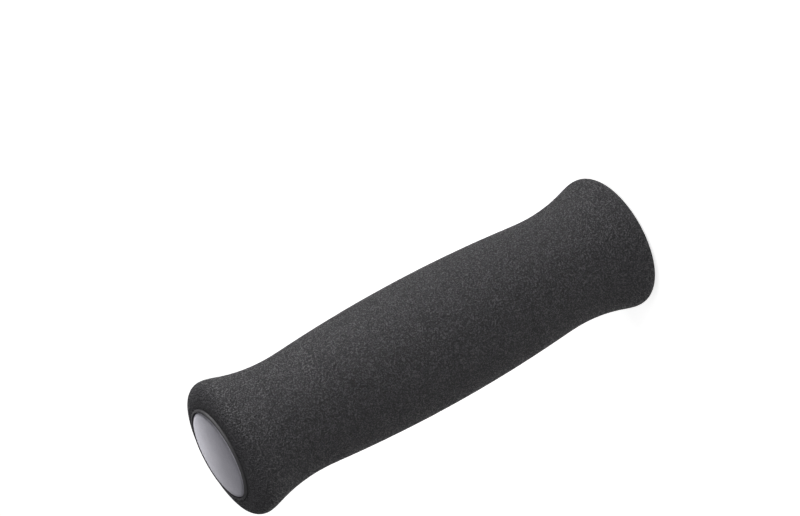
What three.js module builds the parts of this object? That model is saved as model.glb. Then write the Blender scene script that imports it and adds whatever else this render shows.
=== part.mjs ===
// Handlebar grip: a waisted foam sleeve with a push-in plug that closes its outer end.
// Millimetres, +Z along the bore towards the plug. The open end stands on z = 0, centred on the origin.
import * as THREE from 'three';

// Foam sleeve, in its relaxed state
const sleeveLength = 130;
const bulgeDiameter = 36.4;
const neckDepth = 2;
const neckToEnd = 22.2;
const flareRise = 3.3;
const endEdgeRadius = 4;
const boreDiameter = 20;
const lipRadius = 0.8;
const leastEndFlat = 1;

// Plug moulding: a flange over the sleeve's end and a barbed stem for the bar's own bore
const flangeOverlap = 3.2;
const flangeHeight = 0.85;
const flangeEdgeRadius = 0.55;
const rimWidth = 0.6;
const pocketDepth = 0.65;
const webThickness = 1.2;
const stemLength = 20;
const stemWall = 1.6;
const barWallRoom = 0.7;
const barbHeight = 1;
const barbPitch = 4;
const barbCount = 4;
const barbRamp = 2.6;
const barbBack = 0.4;

// Silver disc in the plug's pocket
const discClearance = 0.2;
const discWall = 0.1;
const shoulderWidth = 1.1;
const shoulderHeight = 0.5;
const domeHeight = 0.65;

// Facets
const turnSegments = 64;
const bulgeSteps = 12;
const neckSteps = 9;
const edgeSteps = 6;
const lipSteps = 3;
const shoulderSteps = 5;
const domeSteps = 8;

const point = (radius, height) => new THREE.Vector2(radius, height);

// Points on an arc about a centre, from one point to another the short way round.
function arc(centre, from, to, steps) {
  const radius = centre.distanceTo(from);
  const start = Math.atan2(from.y - centre.y, from.x - centre.x);
  const end = Math.atan2(to.y - centre.y, to.x - centre.x);
  let sweep = end - start;
  if (sweep > Math.PI) sweep -= 2 * Math.PI;
  if (sweep < -Math.PI) sweep += 2 * Math.PI;
  const points = [];
  for (let i = 0; i <= steps; i += 1) {
    const angle = start + (sweep * i) / steps;
    points.push(point(centre.x + radius * Math.cos(angle), centre.y + radius * Math.sin(angle)));
  }
  return points;
}

// A closed outline in radius and height, turned about the Z axis.
function turned(outline) {
  const merged = outline.filter((p, i) => i === 0 || p.distanceTo(outline[i - 1]) > 1e-6);
  return new THREE.LatheGeometry(merged, turnSegments).rotateX(Math.PI / 2);
}

function named(name, geometry, color, roughness, metalness) {
  const mesh = new THREE.Mesh(geometry, new THREE.MeshStandardMaterial({ color, roughness, metalness }));
  mesh.name = name;
  return mesh;
}

const middle = sleeveLength / 2;
const bulgeRadius = bulgeDiameter / 2;
const neckRadius = bulgeRadius - neckDepth;
const flareRadius = neckRadius + flareRise;
const boreRadius = boreDiameter / 2;
const endEdge = Math.min(endEdgeRadius, flareRadius - boreRadius - lipRadius - leastEndFlat);

// The sleeve's outside is one long convex arc over the bulge, a hollow arc through each neck and a
// round edge at each end, all tangent to each other.
function sleeveOutline() {
  const neckOffset = middle - neckToEnd;
  const bulgeAndNeck = (neckOffset ** 2 + neckDepth ** 2) / (2 * neckDepth);
  const neckToEdge = neckToEnd - endEdge;
  const neckAndEdge = (neckToEdge ** 2 + flareRise ** 2) / (2 * flareRise);
  const neckArcRadius = neckAndEdge - endEdge;
  const bulgeArcRadius = bulgeAndNeck - neckArcRadius;

  const bulgeCentre = point(bulgeRadius - bulgeArcRadius, 0);
  const neckCentre = point(neckRadius + neckArcRadius, neckOffset);
  const edgeCentre = point(flareRadius - endEdge, middle - endEdge);
  const bulgeEnd = bulgeCentre.clone().lerp(neckCentre, bulgeArcRadius / bulgeAndNeck);
  const neckEnd = neckCentre.clone().lerp(edgeCentre, neckArcRadius / neckAndEdge);

  const below = (p) => point(p.x, -p.y);
  const upperHalf = [
    ...arc(neckCentre, bulgeEnd, neckEnd, neckSteps),
    ...arc(edgeCentre, neckEnd, point(edgeCentre.x, middle), edgeSteps),
    ...arc(
      point(boreRadius + lipRadius, middle - lipRadius),
      point(boreRadius + lipRadius, middle),
      point(boreRadius, middle - lipRadius),
      lipSteps,
    ),
  ];
  const lowerHalf = upperHalf.map(below).reverse();
  const outline = [...lowerHalf, ...arc(bulgeCentre, below(bulgeEnd), bulgeEnd, bulgeSteps), ...upperHalf];
  outline.push(outline[0].clone());
  return outline.map((p) => point(p.x, p.y + middle));
}

const flangeRadius = boreRadius + flangeOverlap;
const pocketRadius = flangeRadius - rimWidth;
const flangeTop = sleeveLength + flangeHeight;
const pocketFloor = flangeTop - pocketDepth;

// The plug's outline starts on the axis under the web, goes down the stem's hollow, up over the barbs,
// round the flange and ends on the axis at the pocket's floor.
function plugOutline() {
  const barbRadius = boreRadius - barWallRoom;
  const stemRadius = barbRadius - barbHeight;
  const hollowRadius = stemRadius - stemWall;
  const stemTip = sleeveLength - stemLength;
  const webUnderside = pocketFloor - webThickness;
  const outline = [point(0, webUnderside), point(hollowRadius, webUnderside), point(hollowRadius, stemTip)];
  for (let i = 0; i < barbCount; i += 1) {
    const foot = stemTip + i * barbPitch;
    outline.push(point(stemRadius, foot));
    outline.push(point(barbRadius, foot + barbRamp));
    outline.push(point(stemRadius, foot + barbRamp + barbBack));
  }
  outline.push(point(stemRadius, sleeveLength));
  outline.push(point(flangeRadius, sleeveLength));
  outline.push(
    ...arc(
      point(flangeRadius - flangeEdgeRadius, flangeTop - flangeEdgeRadius),
      point(flangeRadius, flangeTop - flangeEdgeRadius),
      point(flangeRadius - flangeEdgeRadius, flangeTop),
      lipSteps,
    ),
  );
  outline.push(point(pocketRadius, flangeTop), point(pocketRadius, pocketFloor), point(0, pocketFloor));
  return outline;
}

// The disc has a flat back, a short wall, and a rounded shoulder that runs into a shallow dome.
function discOutline() {
  const discRadius = pocketRadius - discClearance;
  const crownRadius = discRadius - shoulderWidth;
  const place = (radius, rise) =>
    point(radius, pocketFloor + discWall + rise + domeHeight * (1 - (radius / discRadius) ** 2));
  const outline = [point(0, pocketFloor), point(discRadius, pocketFloor)];
  for (let i = 0; i <= shoulderSteps; i += 1) {
    const angle = (Math.PI / 2) * (1 - i / shoulderSteps);
    outline.push(place(crownRadius + shoulderWidth * Math.sin(angle), shoulderHeight * Math.cos(angle)));
  }
  for (let i = 1; i <= domeSteps; i += 1) {
    outline.push(place(crownRadius * (1 - i / domeSteps), shoulderHeight));
  }
  return outline;
}

const grip = new THREE.Group();
grip.add(named('foam_sleeve', turned(sleeveOutline()), 0x454346, 0.95, 0));
grip.add(named('end_plug', turned(plugOutline()), 0x1f1e20, 0.5, 0));
grip.add(named('plug_face', turned(discOutline()), 0xa3a1a6, 0.38, 1));

export default grip;
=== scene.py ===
import math

import bpy
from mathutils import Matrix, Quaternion, Vector


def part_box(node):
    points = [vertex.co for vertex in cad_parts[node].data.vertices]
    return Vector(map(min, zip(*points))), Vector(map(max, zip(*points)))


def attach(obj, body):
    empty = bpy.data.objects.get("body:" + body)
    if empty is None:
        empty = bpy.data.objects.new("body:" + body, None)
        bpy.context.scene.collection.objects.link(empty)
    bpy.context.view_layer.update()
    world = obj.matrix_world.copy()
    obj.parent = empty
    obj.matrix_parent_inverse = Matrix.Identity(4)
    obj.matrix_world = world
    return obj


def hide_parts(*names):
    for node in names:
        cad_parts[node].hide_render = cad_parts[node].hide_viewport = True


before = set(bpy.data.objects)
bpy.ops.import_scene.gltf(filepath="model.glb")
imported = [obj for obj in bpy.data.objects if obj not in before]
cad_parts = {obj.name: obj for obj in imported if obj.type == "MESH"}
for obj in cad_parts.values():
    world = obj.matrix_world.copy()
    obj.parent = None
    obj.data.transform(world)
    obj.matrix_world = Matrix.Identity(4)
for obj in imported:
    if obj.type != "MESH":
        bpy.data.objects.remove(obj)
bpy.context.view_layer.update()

# Foam handlebar grip with its end plug, standing on its open end. Metres, +Z towards the plug.

mm = 0.001
body = "root"


def cleanSelection():
    bpy.ops.object.select_all(action="DESELECT")


def makeActive(piece):
    cleanSelection()
    piece.select_set(True)
    bpy.context.view_layer.objects.active = piece


def arcPoints(centre, start, end, steps):
    # points from start to end the short way round centre, as (radius, height) pairs
    reach = math.dist(centre, start)
    first = math.atan2(start[1] - centre[1], start[0] - centre[0])
    last = math.atan2(end[1] - centre[1], end[0] - centre[0])
    sweep = (last - first + math.pi) % (2 * math.pi) - math.pi
    angles = [first + sweep * i / steps for i in range(steps + 1)]
    return [(centre[0] + reach * math.cos(a), centre[1] + reach * math.sin(a)) for a in angles]


def withoutRepeats(outline):
    kept = [outline[0]]
    for place in outline[1:]:
        if math.dist(place, kept[-1]) > 1e-7:
            kept.append(place)
    return kept


def turnOnLathe(name, outline, segments, capped):
    # a ring is drawn out from place to place along the outline, as on a lathe
    places = withoutRepeats(outline)
    radius, height = places[0]
    bpy.ops.mesh.primitive_circle_add(
        vertices=segments, radius=radius, fill_type="NGON" if capped else "NOTHING"
    )
    piece = bpy.context.object
    piece.name = name
    makeActive(piece)
    bpy.ops.object.mode_set(mode="EDIT")
    bpy.ops.mesh.select_all(action="SELECT")
    bpy.ops.transform.translate(value=(0, 0, height))
    for nextRadius, nextHeight in places[1:]:
        rise = (0, 0, nextHeight - height)
        bpy.ops.mesh.extrude_region_move(TRANSFORM_OT_translate={"value": rise})
        if nextRadius < 1e-6:
            bpy.ops.mesh.merge(type="CENTER")
        elif abs(nextRadius - radius) > 1e-9:
            grow = nextRadius / radius
            bpy.ops.transform.resize(value=(grow, grow, 1), center_override=(0, 0, nextHeight))
        radius, height = nextRadius, nextHeight
    bpy.ops.mesh.select_all(action="SELECT")
    bpy.ops.mesh.remove_doubles(threshold=1e-6)
    bpy.ops.mesh.normals_make_consistent(inside=False)
    bpy.ops.object.mode_set(mode="OBJECT")
    return piece


def addModifier(piece, kind, settings):
    modifier = piece.modifiers.new(kind.lower(), kind)
    for key, value in settings.items():
        setattr(modifier, key, value)
    makeActive(piece)
    bpy.ops.object.modifier_apply(modifier=modifier.name)


def smoothShade(piece, angle):
    makeActive(piece)
    bpy.ops.object.shade_smooth_by_angle(angle=math.radians(angle))


class Wire:
    # a shader socket whose operators add Math nodes, so 1 - mask is a subtraction
    def __init__(self, tree, socket=None):
        self.tree = tree
        self.socket = socket

    def node(self, kind, settings=None, sockets=None, out=0):
        made = self.tree.nodes.new(kind)
        for key, value in (settings or {}).items():
            setattr(made, key, value)
        for key, value in (sockets or {}).items():
            if isinstance(value, Wire):
                self.tree.links.new(value.socket, made.inputs[key])
            else:
                made.inputs[key].default_value = value
        return Wire(self.tree, made.outputs[out])

    def math(self, operation, first, second):
        return self.node("ShaderNodeMath", {"operation": operation}, {0: first, 1: second})

    def __add__(self, other):
        return self.math("ADD", self, other)

    def __radd__(self, other):
        return self.math("ADD", other, self)

    def __sub__(self, other):
        return self.math("SUBTRACT", self, other)

    def __rsub__(self, other):
        return self.math("SUBTRACT", other, self)

    def __mul__(self, other):
        return self.math("MULTIPLY", self, other)

    def __rmul__(self, other):
        return self.math("MULTIPLY", other, self)

    def __pow__(self, other):
        return self.math("POWER", self, other)

    def between(self, low, high):
        # a smooth step, 0 under low and 1 over high
        return self.node(
            "ShaderNodeMapRange",
            {"interpolation_type": "SMOOTHSTEP"},
            {"Value": self, "From Min": low, "From Max": high},
        )

    def noise(self, size, detail, roughness):
        # noise whose features are about size across, in metres
        return self.node(
            "ShaderNodeTexNoise",
            sockets={"Vector": self, "Scale": 1 / size, "Detail": detail, "Roughness": roughness},
        )

    def cells(self, size):
        # rounded cells about size across, dark in their middles
        return self.node(
            "ShaderNodeTexVoronoi",
            {"feature": "SMOOTH_F1"},
            {"Vector": self, "Scale": 1 / size, "Smoothness": 0.6},
        )

    def blend(self, first, second):
        # mixes two colours by this value
        return self.node(
            "ShaderNodeMix", {"data_type": "RGBA"}, {0: self, 6: first, 7: second}, out=2
        )

    def bump(self, depth, strength):
        return self.node(
            "ShaderNodeBump", sockets={"Height": self, "Distance": depth, "Strength": strength}
        )


def startMaterial(name):
    material = bpy.data.materials.new(name)
    material.use_nodes = True
    tree = material.node_tree
    shader = tree.nodes["Principled BSDF"]
    start = Wire(tree)
    return material, shader, start, start.node("ShaderNodeTexCoord", out=3)


def feedShader(shader, sockets):
    # constants are set on the shader's own sockets, and what varies is linked
    for key, value in sockets.items():
        if isinstance(value, Wire):
            shader.id_data.links.new(value.socket, shader.inputs[key])
        else:
            shader.inputs[key].default_value = value


def setMaterial(piece, material):
    piece.data.materials.clear()
    piece.data.materials.append(material)


# Foam sleeve

foam = {
    "bulgeRadius": 18.2 * mm,
    "neckDepth": 2.0 * mm,
    "neckToEnd": 22.2 * mm,
    "flareRise": 3.3 * mm,
    "endEdge": 4.0 * mm,
    "boreRadius": 10.0 * mm,
    "lip": 0.8 * mm,
    "segments": 36,
    "bulgeRings": 16,
    "neckRings": 6,
    "edgeRings": 3,
    "lipRings": 2,
    "boreRings": 3,
    "lumpSize": 2.6 * mm,
    "lumpDepth": 0.03 * mm,
    "grainSize": 0.62 * mm,
    "grainDepth": 0.07 * mm,
    "reliefDepth": 9.0 * mm,  # overstated, so that grains a pixel or two wide still show
    "glintRoughness": 0.6,
    "fineSize": 0.36 * mm,
    "dark": (0.0530, 0.0518, 0.0551, 1),
    "light": (0.0955, 0.0925, 0.1009, 1),
    "roughness": 0.92,
}


def foamOutline():
    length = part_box("foam_sleeve")[1].z
    middle = length / 2
    neckRadius = foam["bulgeRadius"] - foam["neckDepth"]
    flareRadius = neckRadius + foam["flareRise"]
    neckOffset = middle - foam["neckToEnd"]
    neckToEdge = foam["neckToEnd"] - foam["endEdge"]
    neckAndEdge = (neckToEdge**2 + foam["flareRise"] ** 2) / (2 * foam["flareRise"])
    neckArc = neckAndEdge - foam["endEdge"]
    bulgeAndNeck = (neckOffset**2 + foam["neckDepth"] ** 2) / (2 * foam["neckDepth"])
    bulgeArc = bulgeAndNeck - neckArc
    bulgeCentre = Vector((foam["bulgeRadius"] - bulgeArc, 0))
    neckCentre = Vector((neckRadius + neckArc, neckOffset))
    edgeCentre = Vector((flareRadius - foam["endEdge"], middle - foam["endEdge"]))
    lipCentre = (foam["boreRadius"] + foam["lip"], middle - foam["lip"])
    bulgeEnd = bulgeCentre.lerp(neckCentre, bulgeArc / bulgeAndNeck)
    neckEnd = neckCentre.lerp(edgeCentre, neckArc / neckAndEdge)
    upper = [
        *arcPoints(neckCentre, bulgeEnd, neckEnd, foam["neckRings"]),
        *arcPoints(edgeCentre, neckEnd, (edgeCentre.x, middle), foam["edgeRings"]),
        ((edgeCentre.x + lipCentre[0]) / 2, middle),
        *arcPoints(lipCentre, (lipCentre[0], middle), (foam["boreRadius"], lipCentre[1]), foam["lipRings"]),
    ]
    lower = [(radius, -height) for radius, height in reversed(upper)]
    bulge = arcPoints(bulgeCentre, (bulgeEnd.x, -bulgeEnd.y), bulgeEnd, foam["bulgeRings"])
    bore = [
        (foam["boreRadius"], lipCentre[1] * (1 - 2 * i / foam["boreRings"]))
        for i in range(1, foam["boreRings"] + 1)
    ]
    # a subdivided ring draws in a little, so the control ring stands out by as much
    swell = 3 / (2 + math.cos(2 * math.pi / foam["segments"]))
    return [(radius * swell, height + middle) for radius, height in [*lower, *bulge, *upper, *bore]]


def roughen(piece, name, size, depth):
    lumps = bpy.data.textures.new(name, "CLOUDS")
    lumps.noise_scale = size
    lumps.noise_depth = 1
    addModifier(
        piece,
        "DISPLACE",
        {"texture": lumps, "texture_coords": "LOCAL", "strength": depth, "mid_level": 0.5},
    )


def foamMaterial():
    material, shader, start, place = startMaterial("charcoalFoam")
    grain = place.noise(foam["grainSize"], 2.0, 0.6)
    fine = place.noise(foam["fineSize"], 1.0, 0.5)
    pits = place.cells(foam["grainSize"])
    cloudy = place.noise(9 * mm, 2.0, 0.5)
    relief = grain * 0.45 + fine * 0.6 + pits * 0.2
    speckle = (grain * 0.4 + fine * 0.6).between(0.38, 0.62)
    tone = speckle * 0.8 + cloudy * 0.2
    feedShader(
        shader,
        {
            "Base Color": tone.blend(foam["dark"], foam["light"]),
            "Roughness": foam["roughness"],
            "Specular IOR Level": 0.2,
            # only the highest grains are glossy, and they glint
            "Coat Weight": fine.between(0.54, 0.64),
            "Coat Roughness": foam["glintRoughness"],
            "Normal": relief.bump(foam["reliefDepth"], 1.0),
        },
    )
    return material


def makeFoam():
    piece = turnOnLathe("foamSleeve", foamOutline(), foam["segments"], capped=False)
    addModifier(piece, "SUBSURF", {"levels": 3, "render_levels": 3})
    roughen(piece, "foamLumps", foam["lumpSize"], foam["lumpDepth"])
    roughen(piece, "foamGrain", foam["grainSize"], foam["grainDepth"])
    bpy.ops.object.shade_smooth()
    setMaterial(piece, foamMaterial())
    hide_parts("foam_sleeve")
    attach(piece, body)
    print("foam sleeve made:", len(piece.data.polygons), "faces")


# End plug

endPlug = {
    "segments": 128,
    "flangeRadius": 13.2 * mm,
    "flangeHeight": 0.85 * mm,
    "flangeEdge": 0.55 * mm,
    "rimWidth": 0.6 * mm,
    "pocketDepth": 0.65 * mm,
    "webThickness": 1.2 * mm,
    "barbRadius": 9.3 * mm,
    "barbHeight": 1.0 * mm,
    "barbPitch": 4.0 * mm,
    "barbRamp": 2.6 * mm,
    "barbBack": 0.4 * mm,
    "barbCount": 4,
    "stemWall": 1.6 * mm,
    "softEdge": 0.04 * mm,  # less than the flat that the flange's round edge leaves of the rim
    "color": (0.024, 0.023, 0.025, 1),
    "worn": (0.032, 0.031, 0.033, 1),
}


def plugOutline():
    low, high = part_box("end_plug")
    seat = high.z - endPlug["flangeHeight"]
    floor = high.z - endPlug["pocketDepth"]
    stemRadius = endPlug["barbRadius"] - endPlug["barbHeight"]
    hollowRadius = stemRadius - endPlug["stemWall"]
    edge = endPlug["flangeEdge"]
    flange = endPlug["flangeRadius"]
    pocket = flange - endPlug["rimWidth"]
    outline = [(hollowRadius, floor - endPlug["webThickness"]), (hollowRadius, low.z)]
    for i in range(endPlug["barbCount"]):
        foot = low.z + i * endPlug["barbPitch"]
        outline.append((stemRadius, foot))
        outline.append((endPlug["barbRadius"], foot + endPlug["barbRamp"]))
        outline.append((stemRadius, foot + endPlug["barbRamp"] + endPlug["barbBack"]))
    outline += [(stemRadius, seat), (flange, seat)]
    outline += arcPoints((flange - edge, high.z - edge), (flange, high.z - edge), (flange - edge, high.z), 5)
    outline += [(pocket, high.z), (pocket, floor)]
    return outline


def plasticMaterial():
    material, shader, start, place = startMaterial("blackPlastic")
    skin = place.noise(0.35 * mm, 2.0, 0.6)
    cloudy = place.noise(6 * mm, 3.0, 0.6)
    feedShader(
        shader,
        {
            "Base Color": cloudy.between(0.4, 0.75).blend(endPlug["color"], endPlug["worn"]),
            "Roughness": 0.5 + skin * 0.14,
            "Normal": skin.bump(0.04 * mm, 0.5),
        },
    )
    return material


def makePlug():
    piece = turnOnLathe("endPlug", plugOutline(), endPlug["segments"], capped=True)
    sharpEdges = {"limit_method": "ANGLE", "angle_limit": math.radians(40)}
    addModifier(piece, "BEVEL", {"width": endPlug["softEdge"], "segments": 2, **sharpEdges})
    smoothShade(piece, 35)
    setMaterial(piece, plasticMaterial())
    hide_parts("end_plug")
    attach(piece, body)
    print("end plug made:", len(piece.data.polygons), "faces")


# Silver disc

disc = {
    "segments": 128,
    "radius": 12.4 * mm,
    "wall": 0.1 * mm,
    "shoulderWidth": 1.1 * mm,
    "shoulderHeight": 0.5 * mm,
    "shoulderRings": 8,
    "domeRings": 12,
    "silver": (0.70, 0.685, 0.74, 1),
    "dull": (0.60, 0.588, 0.64, 1),
}


def discOutline():
    low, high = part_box("plug_face")
    radius, rise, rings = disc["radius"], disc["shoulderHeight"], disc["shoulderRings"]
    crown = radius - disc["shoulderWidth"]
    foot = low.z + disc["wall"]
    dome = high.z - foot - rise

    def place(reach, lift):
        return (reach, foot + lift + dome * (1 - (reach / radius) ** 2))

    turns = [math.pi / 2 * (1 - i / rings) for i in range(rings + 1)]
    shoulder = [place(crown + disc["shoulderWidth"] * math.sin(a), rise * math.cos(a)) for a in turns]
    middle = [place(crown * (1 - i / disc["domeRings"]), rise) for i in range(1, disc["domeRings"] + 1)]
    return [(radius, low.z), *shoulder, *middle]


def satinMaterial():
    material, shader, start, place = startMaterial("satinSilver")
    peen = place.noise(0.45 * mm, 2.0, 0.6)
    cloudy = place.noise(5 * mm, 3.0, 0.55)
    tone = (cloudy * 0.5 + peen * 0.5).between(0.36, 0.64)
    feedShader(
        shader,
        {
            "Base Color": tone.blend(disc["dull"], disc["silver"]),
            "Metallic": 1.0,
            "Roughness": 0.24 + peen * 0.08 + cloudy * 0.05,
            "Normal": peen.bump(0.09 * mm, 0.8),
        },
    )
    return material


def makeDisc():
    piece = turnOnLathe("plugFace", discOutline(), disc["segments"], capped=True)
    smoothShade(piece, 40)
    setMaterial(piece, satinMaterial())
    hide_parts("plug_face")
    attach(piece, body)
    print("silver disc made:", len(piece.data.polygons), "faces")


# Studio: a pale floor, a low lamp that grazes the foam, a large soft lamp and a graded fill

studio = {
    "elevation": 20.88,
    "roll": -118.66,
    "distance": 820 * mm,
    "lens": 137.63,
    "aimRight": -6.73 * mm,
    "aimUp": 22.62 * mm,
    "floorReach": 4.0,
    "floorColor": (0.8, 0.8, 0.8, 1),
    "floorGlow": 0.75,
    "keySideFill": (0.10, 0.10, 0.10, 1),
    "farSideFill": (0.46, 0.46, 0.46, 1),
    "keyPower": 3.4,
    "keySize": (0.2, 0.1),
    "keyPlace": (0.70, -0.03, 0.08),
    "softPower": 9.8,
    "softSize": (1.0, 1.0),
    "softPlace": (0.60, -0.72, 0.55),
    "sideSky": (0.50, 0.50, 0.52, 1),
    "darkBand": (0.05, 0.05, 0.055, 1),
    "lowSky": (0.22, 0.22, 0.23, 1),
    "horizon": (1.9, 1.9, 1.95, 1),
}


def makeCamera():
    lift = math.radians(studio["elevation"])
    toward = Vector((0, -math.cos(lift), math.sin(lift)))
    turn = toward.to_track_quat("Z", "Y") @ Quaternion((0, 0, 1), math.radians(studio["roll"]))
    middle = Vector((0, 0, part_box("foam_sleeve")[1].z / 2))
    right = turn @ Vector((1, 0, 0))
    up = turn @ Vector((0, 1, 0))
    aim = middle + right * studio["aimRight"] + up * studio["aimUp"]
    place = middle + toward * studio["distance"]
    turn = toward.rotation_difference(place - aim) @ turn
    bpy.ops.object.camera_add(location=place)
    camera = bpy.context.object
    camera.rotation_mode = "QUATERNION"
    camera.rotation_quaternion = turn
    camera.data.lens = studio["lens"]
    camera.data.sensor_width = 36
    camera.data.clip_end = 20
    bpy.context.scene.camera = camera


def seenDirectly(start):
    # 1 where the camera, a reflection or a clear material looks straight at it
    path = start.node("ShaderNodeLightPath")
    outputs = path.socket.node.outputs
    camera, mirror, clear = (
        Wire(start.tree, outputs[name])
        for name in ("Is Camera Ray", "Is Glossy Ray", "Is Transmission Ray")
    )
    return camera, mirror, clear


def makeFloor():
    bpy.ops.mesh.primitive_circle_add(
        vertices=96, radius=studio["floorReach"], fill_type="NGON", location=(0, 0, 0)
    )
    floor = bpy.context.object
    floor.name = "floor"
    material, shader, start, place = startMaterial("paleFloor")
    camera, mirror, clear = seenDirectly(start)
    feedShader(
        shader,
        {
            "Base Color": studio["floorColor"],
            "Roughness": 1.0,
            "Specular IOR Level": 0.0,
            "Emission Color": (camera + mirror + clear).blend((0, 0, 0, 1), (1, 1, 1, 1)),
            "Emission Strength": studio["floorGlow"],
        },
    )
    setMaterial(floor, material)


def makeWorld():
    world = bpy.data.worlds.new("studio")
    bpy.context.scene.world = world
    world.use_nodes = True
    background = world.node_tree.nodes["Background"]
    start = Wire(world.node_tree)
    camera, mirror, clear = seenDirectly(start)
    place = start.node("ShaderNodeTexCoord", out=0)
    keySide = start.node("ShaderNodeSeparateXYZ", sockets={0: place}, out=0)
    beyond = start.node("ShaderNodeSeparateXYZ", sockets={0: place}, out=1)
    white = (1, 1, 1, 1)
    # reflections see a graded studio: a bright edge beyond the grip and a dark band beside it
    even = keySide.between(-1, 1).blend(studio["farSideFill"], studio["keySideFill"])
    dark = beyond.between(0.35, 0.62).blend(studio["sideSky"], studio["darkBand"])
    sky = beyond.between(0.76, 0.90).blend(dark, studio["lowSky"])
    glow = beyond.between(0.93, 1.0) ** 1.3 * keySide.between(-0.09, 0.10)
    mirrored = glow.blend(sky, studio["horizon"])
    lit = mirror.blend(even, mirrored)
    shown = (camera + clear).blend(lit, white)
    world.node_tree.links.new(shown.socket, background.inputs["Color"])
    background.inputs["Strength"].default_value = 1.0


def makeLight(name):
    place = Vector(studio[name + "Place"])
    middle = Vector((0, 0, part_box("foam_sleeve")[1].z / 2))
    bpy.ops.object.light_add(type="AREA", location=place)
    lamp = bpy.context.object
    lamp.name = name
    lamp.data.shape = "RECTANGLE"
    lamp.data.size, lamp.data.size_y = studio[name + "Size"]
    lamp.data.energy = studio[name + "Power"]
    lamp.rotation_mode = "QUATERNION"
    lamp.rotation_quaternion = (middle - place).to_track_quat("-Z", "Y")


bpy.context.scene.view_settings.view_transform = "Standard"
makeCamera()
makeWorld()
makeFloor()
makeLight("key")
makeLight("soft")
print("studio made")
makeFoam()
makePlug()
makeDisc()
